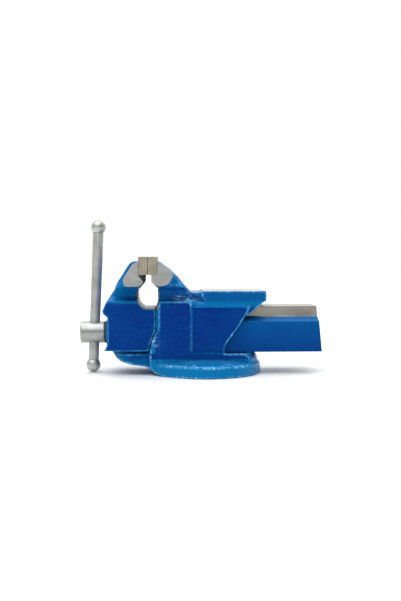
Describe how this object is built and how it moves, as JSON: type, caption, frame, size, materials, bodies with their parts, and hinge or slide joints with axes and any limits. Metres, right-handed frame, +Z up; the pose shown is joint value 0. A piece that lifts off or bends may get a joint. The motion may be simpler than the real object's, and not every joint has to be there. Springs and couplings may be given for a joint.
{
  "type": "bench vise",
  "caption": "Fixed-base bench vise with a round bolt-down foot, hollow box slide, rear anvil, ground steel jaw plates and a loose ball-ended tommy bar.",
  "frame": {"origin": "centre of the round base on its underside", "axes": "+X along the screw from the handle to the anvil, +Y across the jaws, +Z up"},
  "size_m": [0.2726, 0.124, 0.1735],
  "materials": {
    "blue_enamel": "thick gloss enamel on cast iron, machined surfaces left bare",
    "ground_steel": "ground and hardened",
    "turned_steel": "turned, satin",
    "iron_nut": "machined, oiled",
    "dark_fastener": "black oxide"
  },
  "bodies": {
    "vise_body": {"fixed_body": "blue_enamel", "fixed_jaw_plate": "ground_steel", "fixed_jaw_screws": "dark_fastener", "spindle_nut": "iron_nut", "nut_bolt": "dark_fastener", "nut_lock_washer": "dark_fastener", "nut_dowels": "ground_steel"},
    "sliding_jaw": {"moving_jaw": "blue_enamel", "moving_jaw_plate": "ground_steel", "moving_jaw_screws": "dark_fastener", "thrust_washer": "dark_fastener", "front_spring_seat": "ground_steel", "return_spring": "dark_fastener", "rear_spring_seat": "ground_steel"},
    "screw": {"spindle": "turned_steel", "split_pin": "ground_steel"},
    "handle": {"handle_rod": "turned_steel", "upper_knob": "turned_steel", "lower_knob": "turned_steel"}
  },
  "joints": [
    {"name": "jaw_slide", "type": "slide", "parent": "vise_body", "child": "sliding_jaw", "axis": [-1, 0, 0], "range_m": [0, 0.1]},
    {"name": "spindle_turn", "type": "hinge", "parent": "sliding_jaw", "child": "screw", "pos_m": [-0.128, 0, 0.046], "axis": [-1, 0, 0], "range_deg": [0, 7200]},
    {"name": "handle_slide", "type": "slide", "parent": "screw", "child": "handle", "axis": [0.0436, 0, 0.999], "range_m": [-0.1015, 0.0195]}
  ],
  "couplings": [
    {"joint": "jaw_slide", "follows": "spindle_turn", "m_per_rad": 0.00079577}
  ]
}
